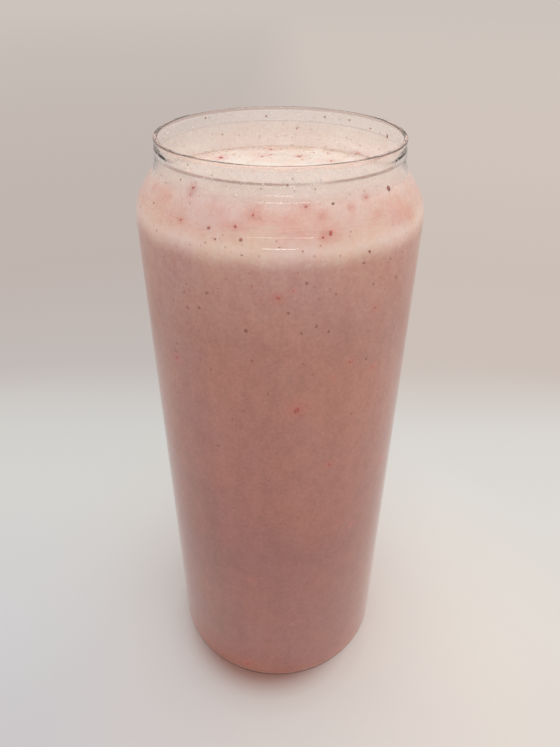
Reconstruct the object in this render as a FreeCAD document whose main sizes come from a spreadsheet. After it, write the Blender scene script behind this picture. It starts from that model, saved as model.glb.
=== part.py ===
"""A strawberry latte filled into a clear can-shaped plastic cup.

Millimetres, +Z up, origin at the centre of the base. The cup is a solid of revolution with a rim, a
collar, a short neck, an ogee shoulder and a straight body. The drink fills it to DrinkDepth below
the rim.
"""
import FreeCAD, Part
import math
import os

import Sketcher

# Name, value in mm (angles in degrees) and what it is.
SIZES = [
    ("CupHeight", 161.4, "table to the top of the rim"),
    ("BodyDiameter", 66.0, "outside, straight part"),
    ("NeckDiameter", 54.9, "outside, just below the collar"),
    ("CollarHeight", 3.35, "from the collar's lower edge to the rim"),
    ("CollarLedge", 0.25, "how far the collar's lower edge stands out from the neck"),
    ("CollarTaper", 0.5, "how much the collar's radius shrinks up to the rim"),
    ("ShoulderDepth", 3.6, "below the rim, where the neck starts to flare"),
    ("ShoulderAngle", 34.0, "degrees from vertical, where the shoulder is steepest"),
    ("ShoulderUpperRadius", 6.0, "outside, hollow bend from neck to slope"),
    ("ShoulderLowerRadius", 11.0, "outside, round bend from slope to body"),
    ("FootRadius", 1.4, "outside rounding at the base"),
    ("FootInnerRadius", 1.0, "inside rounding at the base"),
    ("WallThickness", 0.5, "body wall"),
    ("NeckThickness", 0.95, "neck and shoulder wall"),
    ("BaseThickness", 0.8, "base"),
    ("RimRounding", 0.3, "each edge of the rim"),
    ("DrinkDepth", 10.3, "below the rim, the drink's surface"),
    ("DrinkClearance", 0.1, "between the drink and the wall round it"),
]

ORIGIN = (-1, 1)
HORIZONTAL_AXIS = -1
VERTICAL_AXIS = -2
START, END = 1, 2


def make_sheet(doc):
    """Writes SIZES to a spreadsheet, one row each, with the name as the value's alias."""
    sheet = doc.addObject("Spreadsheet::Sheet", "Sizes")
    for row, (name, value, meaning) in enumerate(SIZES, start=1):
        sheet.set(f"A{row}", name)
        sheet.set(f"B{row}", str(value))
        sheet.setAlias(f"B{row}", name)
        sheet.set(f"C{row}", meaning)
    doc.recompute()
    return sheet


def make_body(doc, label):
    body = doc.addObject("PartDesign::Body", label)
    body.Label = label
    body.Placement = FreeCAD.Placement()
    return body


def make_sketch(body, name):
    """A sketch on the body's own XZ plane: its x is the radius and its y is the height."""
    sketch = body.newObject("Sketcher::SketchObject", name)
    planes = [f for f in body.Origin.OriginFeatures if f.Role == "XZ_Plane"]
    sketch.AttachmentSupport = [(planes[0], "")]
    sketch.MapMode = "FlatFace"
    return sketch


def vector(x, y):
    return FreeCAD.Vector(x, y, 0)


def rule(sketch, *constraint):
    sketch.addConstraint(Sketcher.Constraint(*constraint))


def bind(sketch, name, expression, *constraint):
    """Adds a dimension, names it and binds it to an expression over the sheet."""
    index = sketch.addConstraint(Sketcher.Constraint(*constraint))
    sketch.renameConstraint(index, name)
    sketch.setExpression(f"Constraints.{name}", expression)


def vessel_outline(body, name, sheet, wall, neck_wall, floor, foot, top):
    """The closed half-section of the vessel's form, set in from the outside of the cup.

    wall, neck_wall, floor, foot and top are expressions over the sheet: how far the body and the neck
    are set in, the heights of the floor and of the top, and the radius of the foot's rounding.
    """
    sketch = make_sketch(body, name)

    # Start values near the solution. The dimensions below then fix every point.
    set_in = float(sheet.evalExpression(wall))
    neck_in = float(sheet.evalExpression(neck_wall))
    low = float(sheet.evalExpression(floor))
    high = float(sheet.evalExpression(top))
    foot_radius = float(sheet.evalExpression(foot))
    slope = math.radians(sheet.ShoulderAngle)
    body_radius = sheet.BodyDiameter / 2 - set_in
    neck_radius = sheet.NeckDiameter / 2 - neck_in
    hollow = sheet.ShoulderUpperRadius + neck_in
    bend = sheet.ShoulderLowerRadius - set_in
    neck_end = sheet.CupHeight - sheet.ShoulderDepth
    slope_top = vector(neck_radius + hollow * (1 - math.cos(slope)), neck_end - hollow * math.sin(slope))
    slope_radius = body_radius - bend * (1 - math.cos(slope))
    slope_drop = (slope_radius - slope_top.x) / math.tan(slope)
    slope_foot = vector(slope_radius, slope_top.y - slope_drop)
    bend_centre = vector(body_radius - bend, slope_foot.y - bend * math.sin(slope))
    hollow_centre = vector(neck_radius + hollow, neck_end)
    foot_centre = vector(body_radius - foot_radius, low + foot_radius)
    upright = FreeCAD.Vector(0, 0, 1)

    def arc(centre, radius, first, last):
        return Part.ArcOfCircle(Part.Circle(centre, upright, radius), first, last)

    edges = [
        Part.LineSegment(vector(0, low), vector(foot_centre.x, low)),
        arc(foot_centre, foot_radius, -math.pi / 2, 0),
        Part.LineSegment(vector(body_radius, foot_centre.y), vector(body_radius, bend_centre.y)),
        arc(bend_centre, bend, 0, slope),
        Part.LineSegment(slope_foot, slope_top),
        arc(hollow_centre, hollow, math.pi, math.pi + slope),
        Part.LineSegment(vector(neck_radius, neck_end), vector(neck_radius, high)),
        Part.LineSegment(vector(neck_radius, high), vector(0, high)),
        Part.LineSegment(vector(0, high), vector(0, low)),
    ]
    base, foot_arc, side, bend_arc, ramp, hollow_arc, neck, lid, axis = range(len(edges))
    for edge in edges:
        sketch.addGeometry(edge, False)

    rule(sketch, "Tangent", base, END, foot_arc, START)
    rule(sketch, "Tangent", foot_arc, END, side, START)
    rule(sketch, "Tangent", side, END, bend_arc, START)
    rule(sketch, "Tangent", bend_arc, END, ramp, START)
    rule(sketch, "Tangent", ramp, END, hollow_arc, END)
    rule(sketch, "Tangent", hollow_arc, START, neck, START)
    rule(sketch, "Coincident", neck, END, lid, START)
    rule(sketch, "Coincident", lid, END, axis, START)
    rule(sketch, "Coincident", axis, END, base, START)
    rule(sketch, "Horizontal", base)
    rule(sketch, "Horizontal", lid)
    rule(sketch, "Vertical", side)
    rule(sketch, "Vertical", neck)
    rule(sketch, "PointOnObject", base, START, VERTICAL_AXIS)
    rule(sketch, "PointOnObject", lid, END, VERTICAL_AXIS)
    if low:
        bind(sketch, "Floor", floor, "DistanceY", *ORIGIN, base, START, low)
    else:
        rule(sketch, "PointOnObject", base, START, HORIZONTAL_AXIS)
    bind(sketch, "Foot", foot, "Radius", foot_arc, foot_radius)
    side_radius = f"Sizes.BodyDiameter / 2 - ({wall})"
    bind(sketch, "BodyRadius", side_radius, "DistanceX", *ORIGIN, side, START, body_radius)
    bend_size = f"Sizes.ShoulderLowerRadius - ({wall})"
    bind(sketch, "Bend", bend_size, "Radius", bend_arc, bend)
    ramp_angle = "(90 + Sizes.ShoulderAngle) * 1 deg"
    bind(sketch, "Slope", ramp_angle, "Angle", ramp, math.pi / 2 + slope)
    hollow_size = f"Sizes.ShoulderUpperRadius + ({neck_wall})"
    bind(sketch, "Hollow", hollow_size, "Radius", hollow_arc, hollow)
    inner_neck = f"Sizes.NeckDiameter / 2 - ({neck_wall})"
    bind(sketch, "NeckRadius", inner_neck, "DistanceX", *ORIGIN, neck, START, neck_radius)
    flare = "Sizes.CupHeight - Sizes.ShoulderDepth"
    bind(sketch, "NeckEnd", flare, "DistanceY", *ORIGIN, neck, START, neck_end)
    bind(sketch, "Top", top, "DistanceY", *ORIGIN, lid, START, high)
    return sketch


def disc_outline(body, name, sheet, bottom, top, bottom_radius, top_radius):
    """The half-section of a round disc or cone frustum on the axis, from expressions over the sheet."""
    sketch = make_sketch(body, name)
    low, high, lower_radius, upper_radius = [
        float(sheet.evalExpression(text)) for text in (bottom, top, bottom_radius, top_radius)
    ]
    corners = [vector(0, low), vector(lower_radius, low), vector(upper_radius, high), vector(0, high)]
    for first, last in zip(corners, corners[1:] + corners[:1]):
        sketch.addGeometry(Part.LineSegment(first, last), False)
    under, side, over, axis = range(len(corners))
    for first, last in ((under, side), (side, over), (over, axis), (axis, under)):
        rule(sketch, "Coincident", first, END, last, START)
    rule(sketch, "Horizontal", under)
    rule(sketch, "Horizontal", over)
    rule(sketch, "PointOnObject", under, START, VERTICAL_AXIS)
    rule(sketch, "PointOnObject", over, END, VERTICAL_AXIS)
    bind(sketch, "Bottom", bottom, "DistanceY", *ORIGIN, under, START, low)
    bind(sketch, "Top", top, "DistanceY", *ORIGIN, over, START, high)
    bind(sketch, "LowerRadius", bottom_radius, "DistanceX", *ORIGIN, side, START, lower_radius)
    bind(sketch, "UpperRadius", top_radius, "DistanceX", *ORIGIN, over, START, upper_radius)
    return sketch


def turn(body, kind, name, sketch):
    """A full turn of the sketch about its vertical axis: a PartDesign Revolution or Groove."""
    feature = body.newObject(f"PartDesign::{kind}", name)
    feature.Profile = sketch
    feature.ReferenceAxis = (sketch, ["V_Axis"])
    feature.Angle = 360.0
    body.Document.recompute()
    return feature


def rim_edges(shape, height):
    """Names of the circles at the given height: the rim's outer and inner edges."""
    names = []
    for number, edge in enumerate(shape.Edges, start=1):
        box = edge.BoundBox
        level = abs(box.ZMin - height) < 1e-6 and abs(box.ZMax - height) < 1e-6
        if level and isinstance(edge.Curve, Part.Circle):
            names.append(f"Edge{number}")
    return names


def make_cup(doc, sheet):
    """The clear cup: outside form and collar, hollowed out, with a rounded rim."""
    body = make_body(doc, "cup")
    outside = vessel_outline(
        body, "OutsideSection", sheet, "0", "0", "0", "Sizes.FootRadius", "Sizes.CupHeight"
    )
    turn(body, "Revolution", "Outside", outside)
    collar = disc_outline(
        body,
        "CollarSection",
        sheet,
        "Sizes.CupHeight - Sizes.CollarHeight",
        "Sizes.CupHeight",
        "Sizes.NeckDiameter / 2 + Sizes.CollarLedge",
        "Sizes.NeckDiameter / 2 + Sizes.CollarLedge - Sizes.CollarTaper",
    )
    turn(body, "Revolution", "Collar", collar)
    inside = vessel_outline(
        body,
        "InsideSection",
        sheet,
        "Sizes.WallThickness",
        "Sizes.NeckThickness",
        "Sizes.BaseThickness",
        "Sizes.FootInnerRadius",
        "Sizes.CupHeight",
    )
    hollow = turn(body, "Groove", "Inside", inside)
    rounding = body.newObject("PartDesign::Fillet", "RimRound")
    rounding.Base = (hollow, rim_edges(hollow.Shape, sheet.CupHeight))
    rounding.setExpression("Radius", "Sizes.RimRounding")
    doc.recompute()
    return body


def make_latte(doc, sheet):
    """The drink: the cup's inside less the clearance, levelled off at DrinkDepth below the rim."""
    body = make_body(doc, "latte")
    filling = vessel_outline(
        body,
        "FillingSection",
        sheet,
        "Sizes.WallThickness + Sizes.DrinkClearance",
        "Sizes.NeckThickness + Sizes.DrinkClearance",
        "Sizes.BaseThickness + Sizes.DrinkClearance",
        "Sizes.FootInnerRadius",
        "Sizes.CupHeight",
    )
    turn(body, "Revolution", "Filling", filling)
    above = disc_outline(
        body,
        "SpaceAbove",
        sheet,
        "Sizes.CupHeight - Sizes.DrinkDepth",
        "Sizes.CupHeight",
        "Sizes.BodyDiameter / 2",
        "Sizes.BodyDiameter / 2",
    )
    turn(body, "Groove", "Level", above)
    return body


def check(doc, bodies):
    """Stops the script if any object failed to recompute or any sub-part has no valid solid."""
    for thing in doc.Objects:
        if "Invalid" in thing.State or "Error" in thing.State:
            raise RuntimeError(f"{thing.Label}: {thing.State}")
    for body in bodies:
        shape = body.Shape
        if shape.isNull() or not shape.isValid() or len(shape.Solids) != 1:
            raise RuntimeError(f"{body.Label}: not one valid solid")


def main():
    doc = FreeCAD.newDocument("StrawberryLatte")
    sheet = make_sheet(doc)
    bodies = [make_cup(doc, sheet), make_latte(doc, sheet)]
    doc.recompute()
    check(doc, bodies)
    os.makedirs("parts", exist_ok=True)
    for body in bodies:
        body.Shape.exportStep(f"parts/{body.Label}.step")
        print(f"{body.Label}: {body.Shape.Volume / 1000:.1f} ml, {body.Shape.BoundBox}")


main()
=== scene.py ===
"""Looks for the strawberry latte in its clear can-shaped cup. Metres, in the CAD frame."""

import math

import bpy
import numpy as np
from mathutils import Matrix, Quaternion, Vector


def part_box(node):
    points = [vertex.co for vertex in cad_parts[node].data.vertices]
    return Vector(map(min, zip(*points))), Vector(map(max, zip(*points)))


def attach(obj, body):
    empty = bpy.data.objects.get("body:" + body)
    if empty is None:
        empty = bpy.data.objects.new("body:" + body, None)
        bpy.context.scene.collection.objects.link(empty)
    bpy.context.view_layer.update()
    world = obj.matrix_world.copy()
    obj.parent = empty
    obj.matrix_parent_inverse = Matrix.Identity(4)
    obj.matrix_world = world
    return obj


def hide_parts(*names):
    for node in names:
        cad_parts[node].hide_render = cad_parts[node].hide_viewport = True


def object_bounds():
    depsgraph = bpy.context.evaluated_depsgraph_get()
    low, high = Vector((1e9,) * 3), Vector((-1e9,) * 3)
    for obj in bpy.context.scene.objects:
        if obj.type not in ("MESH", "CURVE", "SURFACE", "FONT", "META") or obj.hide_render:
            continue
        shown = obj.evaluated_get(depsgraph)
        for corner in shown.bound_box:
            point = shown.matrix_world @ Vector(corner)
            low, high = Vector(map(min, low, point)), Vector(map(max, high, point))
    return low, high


MM = 0.001
SEED = 11

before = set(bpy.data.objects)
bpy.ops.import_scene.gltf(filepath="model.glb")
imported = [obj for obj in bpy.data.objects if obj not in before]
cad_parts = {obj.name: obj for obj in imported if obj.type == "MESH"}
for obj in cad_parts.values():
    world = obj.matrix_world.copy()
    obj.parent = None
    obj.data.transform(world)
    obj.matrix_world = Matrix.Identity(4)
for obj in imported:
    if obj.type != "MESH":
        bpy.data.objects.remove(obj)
cad_low, cad_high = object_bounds()
TOP = cad_high.z
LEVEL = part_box("latte")[1].z
LEDGE = TOP - 3.3 * MM  # the line under the collar, where a thin line of painted shade is drawn on the film
SEGMENTS = 224  # round the cup
draw = np.random.default_rng(SEED)


# ---------------------------------------------------------------- lines and meshes


LEVEL_FACE = 0.05  # a face that leans outwards or inwards by less isn't part of a side
NO_RADIUS = 1e-9


def side_outline(node, inner=False):
    """(radius, height) points up the outer side of a turned CAD node, or up its inner side."""
    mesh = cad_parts[node].data
    circles = {}
    for face in mesh.polygons:
        outwards = face.normal.x * face.center.x + face.normal.y * face.center.y
        is_level = abs(outwards) < LEVEL_FACE * face.center.xy.length
        if is_level or (outwards < 0) != inner:
            continue
        for i in face.vertices:
            place = mesh.vertices[i].co
            circles.setdefault(round(place.z, 6), []).append(place.xy.length)
    return [(max(found), z) for z, found in sorted(circles.items())]


def smooth_line(points, step, straight=math.inf):
    """Points every step or so along a smooth curve through the given ones.

    A stretch longer than straight gets no points of its own.
    """
    given = np.array(points, float)
    padded = np.vstack([2 * given[0] - given[1], given, 2 * given[-1] - given[-2]])
    found = []
    for a, b, c, d in zip(padded, padded[1:], padded[2:], padded[3:]):
        before, here, after = (np.linalg.norm(q - p) for p, q in ((a, b), (b, c), (c, d)))
        leave = (c - a) / (before + here) * here
        arrive = (d - b) / (here + after) * here
        count = 1 if here > straight else math.ceil(here / step)
        for t in np.arange(count) / count:
            found.append(
                (2 * t**3 - 3 * t**2 + 1) * b
                + (t**3 - 2 * t**2 + t) * leave
                + (3 * t**2 - 2 * t**3) * c
                + (t**3 - t**2) * arrive
            )
    found.append(given[-1])
    return np.array(found)


def set_off(line, distance):
    """The line moved sideways, to its right as it runs: outwards for one that runs up."""
    along = np.gradient(line, axis=0)
    along /= np.linalg.norm(along, axis=1)[:, None]
    return line + distance * np.column_stack([along[:, 1], -along[:, 0]])


def on_side(line, height, angle):
    """A point on a turned line, and the directions outwards, up along the side and round it."""
    reach = 0.2 * MM
    heights = [height, height + reach, height - reach]
    radius, above, below = np.interp(heights, line[:, 1], line[:, 0])
    lean = (above - below) / (2 * reach)
    c, s = math.cos(angle), math.sin(angle)
    up = np.array([lean * c, lean * s, 1.0]) / math.hypot(lean, 1)
    round_it = np.array([-s, c, 0.0])
    return np.array([radius * c, radius * s, height]), np.cross(round_it, up), up, round_it


def make_piece(name, verts, faces, material):
    """A smooth-shaded mesh that rides on the cup."""
    mesh = bpy.data.meshes.new(name)
    mesh.from_pydata(np.asarray(verts).tolist(), [], faces)
    mesh.validate()
    mesh.shade_smooth()
    mesh.materials.append(material)
    piece = bpy.data.objects.new(name, mesh)
    bpy.context.scene.collection.objects.link(piece)
    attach(piece, "root")
    return piece


def turned(line, segments, closed=False):
    """Vertices and faces of a full turn of (radius, height) points.

    A radius of 0 is a single point. A closed line's last point joins up with its first.
    """
    verts, rings, faces = [], [], []
    for radius, z in line:
        if radius < NO_RADIUS:
            rings.append([len(verts)] * segments)
            verts.append((0, 0, z))
            continue
        rings.append(list(range(len(verts), len(verts) + segments)))
        for i in range(segments):
            angle = 2 * math.pi * i / segments
            verts.append((radius * math.cos(angle), radius * math.sin(angle), z))
    if closed:
        rings.append(rings[0])
    for low, high in zip(rings, rings[1:]):
        for i in range(segments):
            j = (i + 1) % segments
            corners = [low[i], low[j], high[j], high[i]]
            faces.append([c for k, c in enumerate(corners) if c not in corners[:k]])
    return np.array(verts), faces


def ball(rows, columns):
    """Vertices and faces of a unit ball."""
    tilts = np.linspace(-math.pi / 2, math.pi / 2, rows + 1)
    line = [(math.cos(t) if 0 < k < rows else 0, math.sin(t)) for k, t in enumerate(tilts)]
    return turned(line, columns)


def blobs(name, places, material, rows=6, columns=8, wobble=0.0):
    """One mesh of many small blobs. A place is a centre, three directions and three half sizes."""
    shape, shape_faces = ball(rows, columns)
    verts, faces = [], []
    for centre, directions, sizes in places:
        start = len(verts) * len(shape)
        uneven = 1 + wobble * draw.uniform(-1, 1, (len(shape), 1))
        verts.append(centre + (shape * uneven * sizes) @ np.array(directions))
        faces += [[start + c for c in face] for face in shape_faces]
    return make_piece(name, np.vstack(verts), faces, material)


# ---------------------------------------------------------------- materials


class Nodes:
    """A short way to write the nodes of a material or of the world."""

    def __init__(self, owner, output="OutputMaterial"):
        self.owner = owner
        owner.use_nodes = True
        self.tree = owner.node_tree
        self.tree.nodes.clear()
        self.out = self.add(output)

    def fill(self, socket, value):
        """Link an output to the socket, or set the socket to a plain value."""
        if isinstance(value, bpy.types.NodeSocket):
            self.tree.links.new(value, socket)
        else:
            socket.default_value = value

    def add(self, kind, settings=None, **inputs):
        """A node with its inputs filled by name, with underscores for spaces, or by place: i0, i1."""
        node = self.tree.nodes.new("ShaderNode" + kind)
        for key, value in (settings or {}).items():
            setattr(node, key, value)
        for key, value in inputs.items():
            place = int(key[1:]) if key[1:].isdigit() else key.replace("_", " ")
            self.fill(node.inputs[place], value)
        return node

    def math(self, operation, a, b=0.0, clamp=False):
        settings = {"operation": operation, "use_clamp": clamp}
        return self.add("Math", settings, i0=a, i1=b).outputs[0]

    def ramp(self, factor, stops):
        """A colour that runs through the stops, each a place from 0 to 1 and a colour."""
        node = self.add("ValToRGB", Fac=factor)
        points = node.color_ramp.elements
        while len(points) < len(stops):
            points.new(0.5)
        for point, (place, colour) in zip(points, stops):
            point.position = place
            point.color = (*colour, 1)
        return node.outputs["Color"]

    def mix(self, factor, a, b, blend="MIX"):
        """Two colours mixed by factor. Each is an output or three linear shares."""
        node = self.add("Mix", {"data_type": "RGBA", "blend_type": blend}, i0=factor)
        for place, colour in ((6, a), (7, b)):
            self.fill(node.inputs[place], (*colour, 1) if isinstance(colour, tuple) else colour)
        return node.outputs[2]

    def mix_shader(self, factor, a, b):
        return self.add("MixShader", Fac=factor, i1=a.outputs[0], i2=b.outputs[0])

    def place(self):
        return self.add("TexCoord").outputs["Object"]

    def height(self):
        return self.add("SeparateXYZ", Vector=self.place()).outputs["Z"]

    def between(self, value, low, high):
        """The value's share of the way from low to high, held to 0 and 1."""
        return self.add("MapRange", Value=value, From_Min=low, From_Max=high).outputs["Result"]

    def noise(self, size, detail=2.0, stretch=1.0, roughness=0.5):
        """Noise whose features are about size metres wide, and stretch times as tall."""
        place = self.add("Mapping", Vector=self.place(), Scale=(1, 1, 1 / stretch)).outputs[0]
        node = self.add("TexNoise", Vector=place, Scale=1 / size, Detail=detail, Roughness=roughness)
        return node.outputs["Fac"]

    def lighting(self):
        """1 for the rays that light a surface, from a lamp or off other surfaces, else 0."""
        path = self.add("LightPath")
        return self.math("MAXIMUM", path.outputs["Is Shadow Ray"], path.outputs["Is Diffuse Ray"])

    def seen(self):
        """1 for what is seen straight on, mirrored or through clear plastic, else 0."""
        path = self.add("LightPath")
        either = self.math("MAXIMUM", path.outputs["Is Camera Ray"], path.outputs["Is Glossy Ray"])
        return self.math("MAXIMUM", either, path.outputs["Is Transmission Ray"])

    def done(self, shader):
        self.tree.links.new(shader.outputs[0], self.out.inputs["Surface"])
        return self.owner


def new_material(name):
    return Nodes(bpy.data.materials.new(name))


def srgb(*levels):
    """Linear colour from 0 to 255 display levels."""
    return tuple(((c / 255 + 0.055) / 1.055) ** 2.4 if c > 10 else c / 255 / 12.92 for c in levels)


def grey(share):
    return (share,) * 3


def clear_plastic():
    """Clear PET, warmer at the rim, where milk clings.

    Lamps and soft light pass straight through it, and the camera sees it bend light.
    """
    n = new_material("clear_plastic")
    at_rim = n.between(n.height(), TOP - 1.2 * MM, TOP - 0.5 * MM)
    glass = n.add(
        "BsdfPrincipled",
        Base_Color=n.mix(at_rim, srgb(252, 250, 249), srgb(247, 234, 229)),
        Roughness=0.03,
        IOR=1.5,
        Transmission_Weight=1.0,
    )
    through = n.add("BsdfTransparent", Color=(*grey(0.97), 1))
    return n.done(n.mix_shader(n.lighting(), glass, through))


def tone_up(n, tones):
    """Colour by height in millimetres, along a line that wanders a little."""
    wander = n.math("MULTIPLY", n.math("SUBTRACT", n.noise(9 * MM, 3.0), 0.5), 2.2 * MM)
    share = n.math("DIVIDE", n.math("ADD", n.height(), wander), TOP)
    return n.ramp(share, [(z * MM / TOP, srgb(*tone)) for z, tone in tones])


def dotted(n, tone):
    """The tone with fine red-brown dots, in some of the cells of a 1.7 mm pattern."""
    cells = n.add("TexVoronoi", Vector=n.place(), Scale=1 / (1.7 * MM))
    cell_value = n.add("SeparateColor", Color=cells.outputs["Color"]).outputs[0]
    near_middle = n.math("LESS_THAN", cells.outputs["Distance"], 0.13)
    dots = n.math("MULTIPLY", n.math("GREATER_THAN", cell_value, 0.6), near_middle)
    return n.mix(n.math("MULTIPLY", dots, 0.35), tone, srgb(160, 94, 80))


def stained(n, tone):
    """The tone with the red stains that add_stains puts round the larger bits of pulp."""
    stain = n.add("Attribute", {"attribute_name": "stain"}).outputs["Fac"]
    return n.mix(n.math("MULTIPLY", stain, 0.45, clamp=True), tone, srgb(214, 122, 110))


def mottled(n, tone):
    """The tone broken up by blotches, upright streaks, flecks, grain, dots and stains."""
    warm, cool = (0.525, 0.50, 0.475), (0.48, 0.485, 0.515)
    blotches = n.ramp(n.noise(12 * MM, 4.0, 1.2), [(0.38, warm), (0.62, cool)])
    streaks = n.ramp(n.noise(6 * MM, 2.0, 8.0), [(0.3, grey(0.44)), (0.7, grey(0.56))])
    flecks = n.ramp(n.noise(2.6 * MM, 3.0, 1.5), [(0.34, (0.47, 0.45, 0.45)), (0.6, grey(0.52))])
    grain = n.ramp(n.noise(0.8 * MM, 3.0, roughness=0.7), [(0.3, grey(0.43)), (0.7, grey(0.57))])
    for share, pattern in ((0.7, blotches), (0.3, streaks), (0.75, flecks), (0.8, grain)):
        tone = n.mix(share, tone, pattern, "OVERLAY")
    return stained(n, dotted(n, tone))


def pulp_clouds(n, tone, low, full):
    """Soft pinker clouds of pulp, from none at one height to full strength at another."""
    patches = n.between(n.noise(9 * MM, 3.0), 0.47, 0.66)
    clouds = n.math("MULTIPLY", patches, n.between(n.height(), low, full))
    return n.mix(n.math("MULTIPLY", clouds, 0.55), tone, srgb(224, 165, 147))


# The drink's tones by height in millimetres: a light line at the foot, a painted highlight where the
# cup's foot catches the light; deep pink, darker towards the bottom; then a pale band where the
# shoulder meets the side, partly froth and partly painted light from above, and froth under the top.
DRINK_TONES_WITH_PAINTED_LIGHT = [
    # painted highlight: the light line where the cup's foot catches the light
    (1.2, (203, 157, 146)),
    (2.2, (192, 133, 120)),
    (8, (180, 123, 112)),
    (20, (173, 117, 106)),
    (60, (172, 115, 104)),
    (95, (186, 130, 116)),
    (125, (192, 139, 124)),
    (138.5, (204, 156, 144)),
    # the pale band over the shoulder: partly froth, partly painted light from above
    (143.3, (211, 166, 154)),
    (145.5, (233, 202, 189)),
    (146.8, (242, 217, 205)),
    (148.1, (236, 206, 192)),
    (149.4, (230, 196, 183)),
    (151.1, (228, 193, 181)),
]


def strawberry_milk():
    """The drink: toned by height up its side, with a painted highlight and painted light in those
    tones, and a pale top that is partly froth and partly a painted reflection.
    """
    n = new_material("strawberry_milk")
    side = pulp_clouds(n, tone_up(n, DRINK_TONES_WITH_PAINTED_LIGHT), 147.5 * MM, 149.5 * MM)
    # The faces that look up get a paler tone: partly the froth's own colour, partly a painted
    # reflection of the bright surroundings.
    patches = n.between(n.noise(8 * MM, 3.0), 0.4, 0.64)
    froth_and_painted_reflection = n.mix(patches, srgb(241, 231, 222), srgb(237, 219, 208))
    upward = n.add("SeparateXYZ", Vector=n.add("NewGeometry").outputs["Normal"]).outputs["Z"]
    toned = n.mix(n.between(upward, 0.7, 0.9), side, froth_and_painted_reflection)
    shader = n.add(
        "BsdfPrincipled",
        Base_Color=mottled(n, toned),
        Roughness=0.5,
        IOR=1.34,
        Specular_IOR_Level=0.3,
        Subsurface_Weight=0.3,
        Subsurface_Radius=(1.0, 0.55, 0.4),
        Subsurface_Scale=3 * MM,
        Sheen_Weight=0.45,
        Sheen_Roughness=0.5,
    )
    return n.done(shader)


# The film's tones from outside by height in millimetres, paler up the neck, partly thinner milk and
# partly painted light where the steep neck gets little light from above; and how much of the wall it
# covers by its share of the way from the drink up to the rim.
FILM_TONES_WITH_PAINTED_LIGHT = [
    (149.4, (230, 196, 183)),
    (151.1, (228, 194, 182)),
    (153, (236, 208, 198)),
    (154.5, (245, 225, 217)),
    (156.5, (254, 243, 238)),
    (159, (254, 244, 240)),
]
FILM_COVER = [(0, 1.0), (0.25, 1.0), (0.45, 0.95), (0.63, 0.85), (0.72, 0.45), (1, 0.3)]


def ledge_shade_line(n):
    """1 on the thin line of painted shade under the collar's ledge, which breaks up here and there,
    else 0.
    """
    away = n.math("ABSOLUTE", n.math("SUBTRACT", n.height(), LEDGE))
    broken = n.between(n.noise(7 * MM), 0.3, 0.5)
    return n.math("MULTIPLY", n.between(away, 0.18 * MM, 0.06 * MM), broken)


def film_cover(n, ledge_shade):
    """How much the film hides: patchy, whole just above the drink, faded out down over its side.

    Over the drink's side it lets lighting through, so that it throws no shade there.
    """
    share = n.between(n.height(), LEVEL, TOP)
    cover = n.ramp(share, [(place, grey(amount)) for place, amount in FILM_COVER])
    patches = n.ramp(n.noise(6 * MM, 3.0, 1.8), [(0.3, grey(0.8)), (0.7, grey(1.15))])
    grains = n.ramp(n.noise(0.7 * MM, 2.0, roughness=0.7), [(0.35, grey(0.85)), (0.65, grey(1.12))])
    patchy = n.math("MULTIPLY", n.math("MULTIPLY", cover, patches), grains, clamp=True)
    whole = n.between(n.height(), LEVEL + 1.5 * MM, LEVEL + 0.6 * MM)
    fade_in = n.between(n.height(), LEVEL - 1.7 * MM, LEVEL - 0.1 * MM)
    hidden = n.math("MULTIPLY", n.math("MAXIMUM", patchy, whole), fade_in)
    with_line = n.math("MAXIMUM", hidden, n.math("MULTIPLY", ledge_shade, 0.6))
    over_drink = n.between(n.height(), LEVEL + 0.05 * MM, LEVEL - 0.05 * MM)
    let_through = n.math("MULTIPLY", n.lighting(), over_drink)
    return n.math("MULTIPLY", with_line, n.math("SUBTRACT", 1.0, let_through))


def milk_haze():
    """The milky film on the wall: dense near the drink, thin near the rim, pinker seen from outside.
    Its inner face is painted paler, as painted light for what shines through it, and a thin line of
    painted shade marks the ledge under the collar.
    """
    n = new_material("milk_haze")
    ledge_shade = ledge_shade_line(n)
    normal = n.add("NewGeometry").outputs["Normal"]
    facing = n.add("VectorMath", {"operation": "DOT_PRODUCT"}, i0=normal, i1=n.place())
    inside = n.math("LESS_THAN", facing.outputs["Value"], 0.0)
    outside_tone = pulp_clouds(n, tone_up(n, FILM_TONES_WITH_PAINTED_LIGHT), 155.5 * MM, 152.5 * MM)
    # Seen from inside, the film is painted paler: painted light for what shines in through the wall and
    # film.
    toned = mottled(n, n.mix(inside, outside_tone, srgb(253, 246, 242)))
    # The ledge line is painted shade, darker seen from outside than from inside.
    line_depth = n.math("SUBTRACT", 0.75, n.math("MULTIPLY", inside, 0.5))
    tone = n.mix(n.math("MULTIPLY", ledge_shade, line_depth), toned, srgb(178, 136, 128))
    wet = n.add("BsdfPrincipled", Base_Color=tone, Roughness=0.4, Sheen_Weight=0.3, Sheen_Roughness=0.5)
    lit_through = n.add("BsdfTranslucent", Color=tone)
    outside_share = n.math("MULTIPLY", n.between(n.height(), LEVEL, LEVEL + 5 * MM), 0.35)
    share_through = n.math("MAXIMUM", n.math("MULTIPLY", inside, 0.85), outside_share)
    milk = n.mix_shader(share_through, wet, lit_through)
    return n.done(n.mix_shader(film_cover(n, ledge_shade), n.add("BsdfTransparent"), milk))


def froth(name, pale, deep):
    """Bubbles and droplets: pale, wet and milky through, mottled between two tones."""
    n = new_material(name)
    shader = n.add(
        "BsdfPrincipled",
        Base_Color=n.ramp(n.noise(2.5 * MM), [(0.4, srgb(*pale)), (0.6, srgb(*deep))]),
        Roughness=0.25,
        IOR=1.34,
        Subsurface_Weight=0.7,
        Subsurface_Radius=(1.0, 0.8, 0.7),
        Subsurface_Scale=0.6 * MM,
    )
    return n.done(shader)


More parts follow.
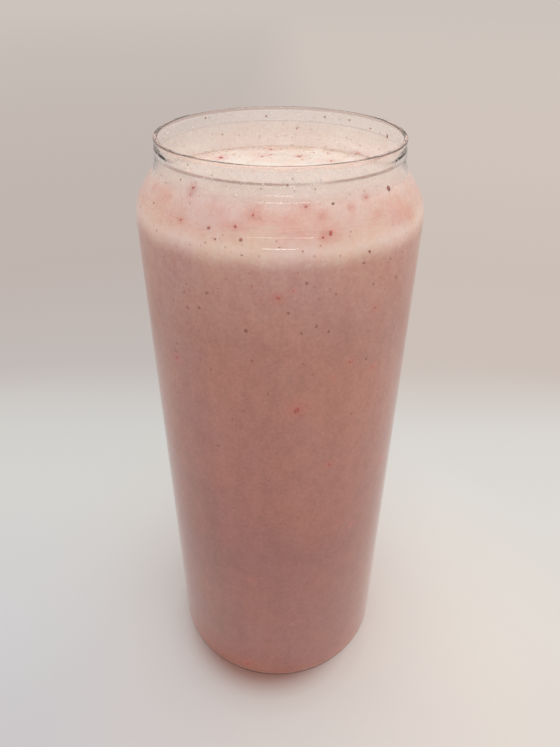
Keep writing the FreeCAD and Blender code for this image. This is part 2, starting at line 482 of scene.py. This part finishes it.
def fruit(name, pale, dark):
    """Strawberry pulp and seeds, mottled between two tones."""
    n = new_material(name)
    tone = n.ramp(n.noise(0.8 * MM, 3.0), [(0.35, srgb(*dark)), (0.65, srgb(*pale))])
    return n.done(n.add("BsdfPrincipled", Base_Color=tone, Roughness=0.4, IOR=1.4))


# ---------------------------------------------------------------- drink


WALL_REACH = 0.25 * MM  # past the CAD drink's side: its clearance and a little of the wall
WALL_STEP = 0.4 * MM
STRAIGHT_WALL = 20 * MM  # a stretch of the wall longer than this is straight
drink_side = set_off(smooth_line(side_outline("latte"), 0.6 * MM), WALL_REACH)
outer_wall = smooth_line(side_outline("cup"), WALL_STEP, STRAIGHT_WALL)
inner_wall = smooth_line(side_outline("cup", inner=True), WALL_STEP, STRAIGHT_WALL)

# The specks that stand out on the side: angle round the cup (-90 is the front), height and length
# in millimetres. Above the drink they cling to the inner wall.
SEEDS = [
    (-87, 151.7, 0.9),
    (-69, 154.1, 0.7),
    (-58, 151.2, 0.9),
    (-39, 154.3, 1.5),
    (20, 158.4, 0.9),
    (98, 159.2, 0.5),
    (65, 159.5, 0.6),
    (134, 160.1, 0.5),
    (50, 159.6, 0.5),
    (-148, 150.6, 0.7),
    (-120, 133.2, 0.8),
    (-102, 130.0, 1.0),
    (-87, 134.5, 0.6),
    (-82, 129.7, 0.7),
    (-72, 129.4, 0.7),
    (-116, 96.6, 0.9),
    (-94, 88.2, 0.8),
    (-89, 72.9, 0.9),
    (-54, 119.8, 0.8),
    (-59, 105.6, 0.9),
    (-117, 118.4, 0.6),
    (-94, 114.5, 0.7),
    (-132, 43.5, 0.9),
]
PULP = [
    (-100, 152.6, 1.1),
    (-80, 154.0, 0.6),
    (-74, 152.4, 0.7),
    (-62, 153.1, 0.5),
    (-128, 155.6, 0.6),
    (-154, 152.6, 0.6),
    (-106, 150.7, 0.7),
    (-129, 150.0, 0.5),
    (-72, 149.7, 1.0),
    (-75, 149.2, 0.5),
    (-62, 120.4, 0.6),
    (-135, 117.6, 0.9),
    (-83, 109.9, 1.5),
    (-107, 4.5, 1.2),
]
# The same for the drink's top: angle, distance from the middle, length.
TOP_PULP = [(131, 22.7, 1.0), (104, 18.9, 0.8), (97, 20.4, 0.8), (76, 19.3, 1.0), (51, 20.1, 0.8)]

# Scattered specks. On the side: kind, count, usual and greatest length, and how far below the level
# they start, in millimetres. On the top and on the wall above the drink: kind and count.
SIDE_SCATTER = [("seeds", 90, 0.25, 0.5, 12), ("pulp", 220, 0.3, 0.8, 9), ("fine", 1300, 0.34, 0.9, 1)]
TOP_SCATTER = [("seeds", 25), ("pulp", 50), ("fine", 120)]
WALL_SCATTER = [("pulp", 30), ("fine", 110)]
FOOT_MARGIN = 3  # millimetres at the foot without scattered specks
SCATTER_RADIUS = 28 * MM  # on the top
BUBBLES = 620
DROPLETS = 800

# Lengths and heights of the swells on the drink's top, each made of some waves that cross.
SWELLS = ((14 * MM, 0.12 * MM), (6 * MM, 0.08 * MM), (2.5 * MM, 0.05 * MM))
WAVES_PER_SWELL = 5


def froth_relief(x, y):
    """Low uneven swells of the froth on top, a few tenths of a millimetre high at most."""
    waves = np.random.default_rng(SEED + 1)
    height = np.zeros_like(x)
    for length, rise in SWELLS:
        for angle, phase in waves.uniform(0, 2 * math.pi, (WAVES_PER_SWELL, 2)):
            along = x * math.cos(angle) + y * math.sin(angle)
            height += rise / 2 * np.sin(along * 2 * math.pi / length + phase)
    return height


def side_place(degrees, height):
    """A point at a height on the drink's side or, above the drink, in the film on the inner wall."""
    above = height > LEVEL
    line = inner_wall if above else drink_side
    point, out, up, across = on_side(line, height, math.radians(degrees))
    inwards = 0.03 * MM if above else 0
    return point - inwards * out, (out, up, across)


def top_place(degrees, distance):
    """A point on the drink's top."""
    c, s = math.cos(math.radians(degrees)), math.sin(math.radians(degrees))
    x, y = distance * c, distance * s
    z = LEVEL + float(froth_relief(np.array([x]), np.array([y]))[0])
    directions = (np.array([0, 0, 1.0]), np.array([c, s, 0]), np.array([-s, c, 0]))
    return np.array([x, y, z]), directions


def length_near(usual, most, spread=0.45):
    """A length in millimetres that is mostly near the usual one and never over the greatest."""
    return min(most, usual * math.exp(draw.normal(0, spread)))


def standout_specks():
    """The specks that stand out, as (point, directions, length) by kind."""
    kinds = {"seeds": [], "pulp": [], "fine": []}
    for kind, listed in (("seeds", SEEDS), ("pulp", PULP)):
        for degrees, height, length in listed:
            kinds[kind].append((*side_place(degrees, height * MM), length * MM))
    for degrees, distance, length in TOP_PULP:
        kinds["pulp"].append((*top_place(degrees, distance * MM), length * MM))
    return kinds


def speck_places():
    """Every speck, as (point, directions, length) by kind: the ones that stand out, then the rest."""
    kinds = standout_specks()
    for kind, count, usual, most, depth in SIDE_SCATTER:
        reach = LEVEL - (depth + FOOT_MARGIN) * MM
        for _ in range(count):
            height = LEVEL - depth * MM - reach * draw.uniform() ** 1.15
            place = side_place(draw.uniform(-180, 180), height)
            kinds[kind].append((*place, length_near(usual, most) * MM))
    for kind, count in TOP_SCATTER:
        for _ in range(count):
            place = top_place(draw.uniform(-180, 180), SCATTER_RADIUS * math.sqrt(draw.uniform()))
            kinds[kind].append((*place, length_near(0.3, 0.8) * MM))
    for kind, count in WALL_SCATTER:
        for _ in range(count):
            degrees = draw.uniform(-180, 180)
            place = side_place(degrees, LEVEL + (TOP - LEVEL) * 0.8 * draw.uniform() ** 2)
            kinds[kind].append((*place, length_near(0.25, 0.5) * MM))
    return kinds


def add_stains(piece, pulp):
    """A share of red at each vertex that fades out round the larger bits of pulp."""
    shortest, spread = 0.4 * MM, 1.7
    verts = np.array([v.co for v in piece.data.vertices])
    stain = np.zeros(len(verts))
    for point, _, length in pulp:
        if length > shortest:
            away = np.linalg.norm(verts - point, axis=1)
            stain += np.exp(-((away / (spread * length)) ** 2))
    found = piece.data.attributes.new("stain", "FLOAT", "POINT")
    found.data.foreach_set("value", np.clip(stain, 0, 1))


def make_drink(material, pulp):
    """The drink out into the wall, its top in low swells that level out at the cup.

    The point close under the top's edge keeps the side's smooth shading apart from the top's.
    """
    rim_radius = drink_side[-1][0]
    under_edge = (rim_radius, LEVEL - 0.02 * MM)
    near_edge, further_in = np.linspace(0, 0.2, 14), np.linspace(0.225, 1, 36)
    surface = [(rim_radius * (1 - share), LEVEL) for share in (*near_edge, *further_in)]
    line = [(0, drink_side[0][1]), *drink_side[:-1], under_edge, *surface]
    verts, faces = turned(line, SEGMENTS)
    top = verts[:, 2] > LEVEL - 1e-4 * MM
    inward = rim_radius - np.hypot(verts[top, 0], verts[top, 1])
    calm = np.clip(inward / (1.5 * MM), 0, 1)
    verts[top, 2] += calm * froth_relief(verts[top, 0], verts[top, 1])
    piece = make_piece("latte_drink", verts, faces, material)
    add_stains(piece, pulp)
    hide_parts("latte")


def make_specks(name, specks, material, wobble):
    """Thin bits that lie flush in the drink's side and top and in the film, each turned its own way."""
    places = []
    for point, (out, up, across), length in specks:
        turn = draw.uniform(0, math.pi)
        along = math.cos(turn) * up + math.sin(turn) * across
        beside = math.cos(turn) * across - math.sin(turn) * up
        half = 0.5 * length
        sizes = np.array([0.1 * length + 0.03 * MM, half, half * draw.uniform(0.55, 0.9)])
        places.append((point, (out, along, beside), sizes))
    blobs(name, places, material, wobble=wobble)


def make_bubbles(material):
    """Froth bubbles on the drink's top, closer together near the cup."""
    places = []
    rim_radius = drink_side[-1][0] - 0.6 * MM
    for _ in range(BUBBLES):
        size = length_near(0.14, 0.5, 0.5) * MM
        inward = 0.6 * draw.uniform() ** 2 * draw.uniform(0.2, 1)
        point, directions = top_place(draw.uniform(-180, 180), (rim_radius - size) * (1 - inward))
        places.append((point, directions, np.array([0.8, 1, 1]) * size))
    blobs("latte_bubbles", places, material, columns=10)


# ---------------------------------------------------------------- cup


def make_cup(material):
    """The cup with the CAD's outline in finer steps, so that no facets show in the clear wall."""
    line = [(0, 0), *outer_wall, *inner_wall[::-1], (0, inner_wall[0][1])]
    verts, faces = turned(line, SEGMENTS)
    piece = make_piece("clear_cup", verts, faces, material)
    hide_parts("cup")


def make_film(material, pulp):
    """The film of milk on the inner wall from the drink up to the rim, a closed thin shell.

    It starts over the drink's side and fades in there, so that the two meet without an edge.
    """
    wall_radius, wall_height = inner_wall.T
    shown = inner_wall[(wall_height > LEVEL - 2 * MM) & (wall_height < TOP - 0.35 * MM)]
    wall_there = np.interp(drink_side[:, 1], wall_height, wall_radius)
    radius, height = shown.T
    over_drink = 0.03 * MM + np.interp(height, drink_side[:, 1], drink_side[:, 0] - wall_there)
    leaving = np.clip((height - LEVEL) / (3 * MM), 0, 1)
    reach = (1 - leaving) * over_drink - leaving * 0.01 * MM
    outer, inner = np.column_stack([radius + reach, height]), set_off(shown, -0.06 * MM)
    verts, faces = turned([*outer, *inner[::-1]], SEGMENTS, closed=True)
    piece = make_piece("milk_film", verts, faces, material)
    add_stains(piece, pulp)


def make_droplets(material):
    """Small flattened drops of milk on the inner wall."""
    places = []
    lowest, reach = LEVEL + 0.6 * MM, TOP - LEVEL - 1.5 * MM
    for _ in range(DROPLETS):
        height = lowest + reach * draw.uniform() ** 0.8
        point, directions = side_place(draw.uniform(-180, 180), height)
        size = length_near(0.085, 0.3, 0.5) * MM
        places.append((point, directions, size * np.array([0.6, draw.uniform(1, 1.3), 1])))
    blobs("milk_droplets", places, material, rows=4, columns=7)


# ---------------------------------------------------------------- stage


# How far back the floor is in metres, then its tone on the left and on the right; the right is painted
# lighter and warmer, as painted light falling from that side.
FLOOR_TONES = [
    (-0.05, (203, 200, 202), (226, 218, 211)),
    (-0.02, (207, 206, 207), (227, 220, 213)),
    (0.05, (212, 211, 208), (221, 218, 213)),
    (0.09, (209, 208, 204), (218, 214, 209)),
    (0.116, (205, 201, 198), (211, 204, 198)),
    (0.15, (195, 187, 183), (204, 192, 184)),
    (0.3, (192, 180, 174), (204, 191, 183)),
    (0.6, (194, 182, 176), (208, 195, 187)),
    (1.2, (197, 187, 181), (208, 197, 189)),
    (3.0, (204, 195, 188), (204, 195, 188)),
]
FAR_TONE = (204, 195, 188)

# A painted contact shadow on the floor in front of the cup's foot, tinted pink as by light off the
# drink:
# how strong it is by the share of the way from the start to the end distance below, from a point just
# in front of the cup's middle.
CONTACT_SHADOW_SHARES = [(0, 0.95), (0.085, 0.85), (0.21, 0.55), (0.34, 0.27), (0.47, 0.1), (0.75, 0)]
CONTACT_SHADOW_MIDDLE = (-3 * MM, -12 * MM, 0)
CONTACT_SHADOW_START, CONTACT_SHADOW_END = 20 * MM, 40 * MM


def floor_tone(n, away):
    """The floor's tone: by how far back it is near the cup, and by distance all round further off;
    lighter and warmer on the right, painted light from that side.
    """
    nearest, furthest = FLOOR_TONES[0][0], FLOOR_TONES[-1][0]
    place = n.add("SeparateXYZ", Vector=n.place()).outputs
    past_y = n.math("MULTIPLY", n.math("SUBTRACT", away, place["Y"]), n.between(away, 0.18, 0.5))
    back = n.between(n.math("ADD", place["Y"], past_y), nearest, furthest)
    shares = [(row[0] - nearest) / (furthest - nearest) for row in FLOOR_TONES]
    left = n.ramp(back, [(share, srgb(*row[1])) for share, row in zip(shares, FLOOR_TONES)])
    right = n.ramp(back, [(share, srgb(*row[2])) for share, row in zip(shares, FLOOR_TONES)])
    # Lighter and warmer on the right: painted light falling from that side.
    return n.mix(n.between(place["X"], -0.07, 0.07), left, right)


def studio_floor():
    """Pale floor that fades from lit surface near the cup to an even studio tone further off, with a
    painted contact shadow, tinted pink, in front of the cup's foot.
    """
    n = new_material("studio_floor")
    away = n.add("VectorMath", {"operation": "LENGTH"}, i0=n.place()).outputs["Value"]
    from_contact_shadow = n.add("VectorMath", {"operation": "DISTANCE"}, i0=n.place(), i1=CONTACT_SHADOW_MIDDLE)
    contact_shadow_place = n.between(from_contact_shadow.outputs["Value"], CONTACT_SHADOW_START, CONTACT_SHADOW_END)
    contact_shadow = n.ramp(contact_shadow_place, [(place, grey(share)) for place, share in CONTACT_SHADOW_SHARES])
    # painted contact shadow at the cup's foot, tinted pink as by light off the drink
    tone = n.mix(contact_shadow, floor_tone(n, away), srgb(152, 108, 97))
    lit = n.add("BsdfPrincipled", Base_Color=tone, Roughness=0.75)
    even = n.add("Emission", Color=tone, Strength=1.0)
    far = n.math("MULTIPLY", n.seen(), n.between(away, 0.03, 0.11))
    return n.done(n.mix_shader(far, lit, even))


def make_floor():
    """A round floor that reaches 8 m out from the cup."""
    verts, faces = turned([(radius, 0) for radius in (0, 0.3, 1, 3, 8)], 64)
    mesh = bpy.data.meshes.new("floor")
    mesh.from_pydata(verts.tolist(), [], faces)
    mesh.materials.append(studio_floor())
    floor = bpy.data.objects.new("floor", mesh)
    bpy.context.scene.collection.objects.link(floor)


def make_world():
    """A dim even sky that is seen, straight on, mirrored or through the cup, as a pale studio."""
    n = Nodes(bpy.data.worlds.new("world"), "OutputWorld")
    dim = n.add("Background", Color=(*srgb(206, 200, 196), 1), Strength=0.8)
    studio = n.add("Background", Color=(*srgb(*FAR_TONE), 1), Strength=1.0)
    bpy.context.scene.world = n.done(n.mix_shader(n.seen(), dim, studio))


WHITE = (1, 1, 1)
WARM = (1, 0.985, 0.97)
AIM = Vector((0, 0, 0.12))  # where every lamp points, in the upper part of the drink


def area_light(name, place, size, power, colour=WHITE, mirrored=True):
    """A lamp aimed at the cup. One that isn't mirrored leaves no patch on the glossy wall."""
    data = bpy.data.lights.new(name, "AREA")
    data.shape = "RECTANGLE"
    data.size, data.size_y = size
    data.energy = power
    data.color = colour
    lamp = bpy.data.objects.new(name, data)
    lamp.location = place
    lamp.rotation_mode = "QUATERNION"
    lamp.rotation_quaternion = (AIM - Vector(place)).to_track_quat("-Z", "Y")
    lamp.visible_glossy = lamp.visible_transmission = mirrored
    bpy.context.scene.collection.objects.link(lamp)


def make_lights():
    """A soft lamp overhead, softer ones at both sides and behind, and thin strips for highlights."""
    area_light("overhead", (0.08, -0.25, 1.2), (0.9, 0.9), 6.5, WARM)
    area_light("right", (1.1, 0.5, 0.5), (1.2, 1.0), 3.8, WARM, mirrored=False)
    area_light("left", (-1.1, 0.8, 0.5), (1.2, 1.0), 3.6, mirrored=False)
    area_light("back", (0.1, 1.2, 0.5), (1.2, 1.0), 2.4, mirrored=False)
    area_light("strip_high", (0, -1.2, 1.0), (1.2, 0.02), 1.0)
    area_light("strip_low", (0, -1.3, 0.45), (0.6, 0.02), 0.5)
    area_light("strip_back", (0, 1.0, 1.3), (0.9, 0.03), 1.2)


def make_camera():
    """The camera above and in front of the cup, looking down at it from close by."""
    data = bpy.data.cameras.new("camera")
    data.lens = 28.71
    data.sensor_width = 36
    data.clip_start = 0.01
    camera = bpy.data.objects.new("camera", data)
    in_front, above_rim = 0.13655, 0.03048
    camera.location = (0, -in_front, TOP + above_rim)
    pitch, yaw, roll = 0.606, 0.0017, 0.0076
    forward = Vector((yaw, math.cos(pitch), -math.sin(pitch))).normalized()
    camera.rotation_mode = "QUATERNION"
    camera.rotation_quaternion = forward.to_track_quat("-Z", "Y") @ Quaternion((0, 0, 1), roll)
    bpy.context.scene.collection.objects.link(camera)
    bpy.context.scene.camera = camera


# ---------------------------------------------------------------- the scene


seed_brown = fruit("seed_brown", (178, 124, 108), (146, 92, 78))
pulp_red = fruit("pulp_red", (210, 118, 106), (184, 84, 76))
pulp_muted = fruit("pulp_muted", (194, 136, 122), (174, 108, 95))
froth_bubble = froth("froth_bubble", (246, 222, 208), (238, 205, 188))
milk_drop = froth("milk_drop", (252, 240, 234), (246, 226, 217))

specks = speck_places()
make_cup(clear_plastic())
make_drink(strawberry_milk(), specks["pulp"])
make_specks("strawberry_seeds", specks["seeds"], seed_brown, 0.15)
make_specks("strawberry_pulp", specks["pulp"], pulp_red, 0.3)
make_specks("strawberry_bits", specks["fine"], pulp_muted, 0.3)
make_bubbles(froth_bubble)
make_film(milk_haze(), specks["pulp"])
make_droplets(milk_drop)
make_floor()
make_world()
make_lights()
make_camera()
bpy.context.scene.view_settings.view_transform = "Standard"
